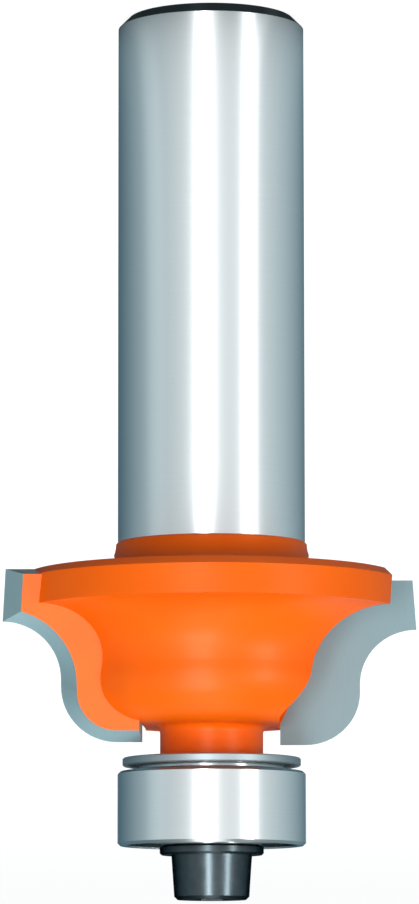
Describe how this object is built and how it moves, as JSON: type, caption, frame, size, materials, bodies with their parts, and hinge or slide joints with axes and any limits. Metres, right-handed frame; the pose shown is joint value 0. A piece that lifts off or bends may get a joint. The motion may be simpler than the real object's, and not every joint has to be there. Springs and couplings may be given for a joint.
{
  "type": "router bit",
  "caption": "Roman ogee router bit: ground shank, orange coated cutter body with two carbide edges, and a pilot bearing on a screw at its nose.",
  "frame": {"origin": "centre of the shank's flat end, on the spindle axis", "axes": "+Z along the spindle axis from the shank's end to the bearing and screw at the nose; +X from the axis towards the cutting edge whose rake face looks towards +Y; the bit cuts when it turns counter-clockwise seen from +Z"},
  "size_m": [0.028, 0.0258, 0.0602],
  "materials": {
    "coated_steel": "smooth orange anti-stick coating; the shank is bright ground steel",
    "carbide": "fine-ground tungsten carbide, matt grey",
    "washer_steel": "turned steel",
    "bearing_steel": "ground and polished bearing steel",
    "shield_steel": "pressed stainless steel",
    "ball_steel": "polished",
    "cage": "machined",
    "black_steel": "black oxide, satin"
  },
  "bodies": {
    "cutter": {"cutter_body": "coated_steel", "carbide_tip_1": "carbide", "carbide_tip_2": "carbide", "shield_washer": "washer_steel", "spacer_ring": "washer_steel", "bearing_inner_ring": "bearing_steel", "screw_washer": "black_steel", "pilot_screw": "black_steel"},
    "bearing_rim": {"bearing_outer_ring": "bearing_steel", "bearing_shield_shank_side": "shield_steel", "bearing_shield_nose_side": "shield_steel", "shield_clip_shank_side": "shield_steel", "shield_clip_nose_side": "shield_steel"},
    "cage": {"ball_cage": "cage"},
    "ball_1": {"bearing_ball_1": "ball_steel"},
    "ball_2": {"bearing_ball_2": "ball_steel"},
    "ball_3": {"bearing_ball_3": "ball_steel"},
    "ball_4": {"bearing_ball_4": "ball_steel"},
    "ball_5": {"bearing_ball_5": "ball_steel"},
    "ball_6": {"bearing_ball_6": "ball_steel"},
    "ball_7": {"bearing_ball_7": "ball_steel"}
  },
  "joints": [
    {"name": "rim_spin", "type": "hinge", "parent": "cutter", "child": "bearing_rim", "pos_m": [0, 0, 0.05413], "axis": [0, 0, 1], "continuous": true},
    {"name": "cage_spin", "type": "hinge", "parent": "cutter", "child": "cage", "pos_m": [0, 0, 0.05413], "axis": [0, 0, 1], "continuous": true},
    {"name": "ball_1_spin", "type": "hinge", "parent": "cage", "child": "ball_1", "pos_m": [0.00437, 0, 0.05413], "axis": [0, 0, 1], "continuous": true},
    {"name": "ball_2_spin", "type": "hinge", "parent": "cage", "child": "ball_2", "pos_m": [0.00272, 0.00341, 0.05413], "axis": [0, 0, 1], "continuous": true},
    {"name": "ball_3_spin", "type": "hinge", "parent": "cage", "child": "ball_3", "pos_m": [-0.00097, 0.00426, 0.05413], "axis": [0, 0, 1], "continuous": true},
    {"name": "ball_4_spin", "type": "hinge", "parent": "cage", "child": "ball_4", "pos_m": [-0.00393, 0.00189, 0.05413], "axis": [0, 0, 1], "continuous": true},
    {"name": "ball_5_spin", "type": "hinge", "parent": "cage", "child": "ball_5", "pos_m": [-0.00393, -0.00189, 0.05413], "axis": [0, 0, 1], "continuous": true},
    {"name": "ball_6_spin", "type": "hinge", "parent": "cage", "child": "ball_6", "pos_m": [-0.00097, -0.00426, 0.05413], "axis": [0, 0, 1], "continuous": true},
    {"name": "ball_7_spin", "type": "hinge", "parent": "cage", "child": "ball_7", "pos_m": [0.00272, -0.00341, 0.05413], "axis": [0, 0, 1], "continuous": true}
  ],
  "couplings": [
    {"joint": "cage_spin", "follows": "rim_spin", "ratio": 0.63638},
    {"joint": "ball_1_spin", "follows": "rim_spin", "ratio": 1.6968},
    {"joint": "ball_2_spin", "follows": "rim_spin", "ratio": 1.6968},
    {"joint": "ball_3_spin", "follows": "rim_spin", "ratio": 1.6968},
    {"joint": "ball_4_spin", "follows": "rim_spin", "ratio": 1.6968},
    {"joint": "ball_5_spin", "follows": "rim_spin", "ratio": 1.6968},
    {"joint": "ball_6_spin", "follows": "rim_spin", "ratio": 1.6968},
    {"joint": "ball_7_spin", "follows": "rim_spin", "ratio": 1.6968}
  ]
}
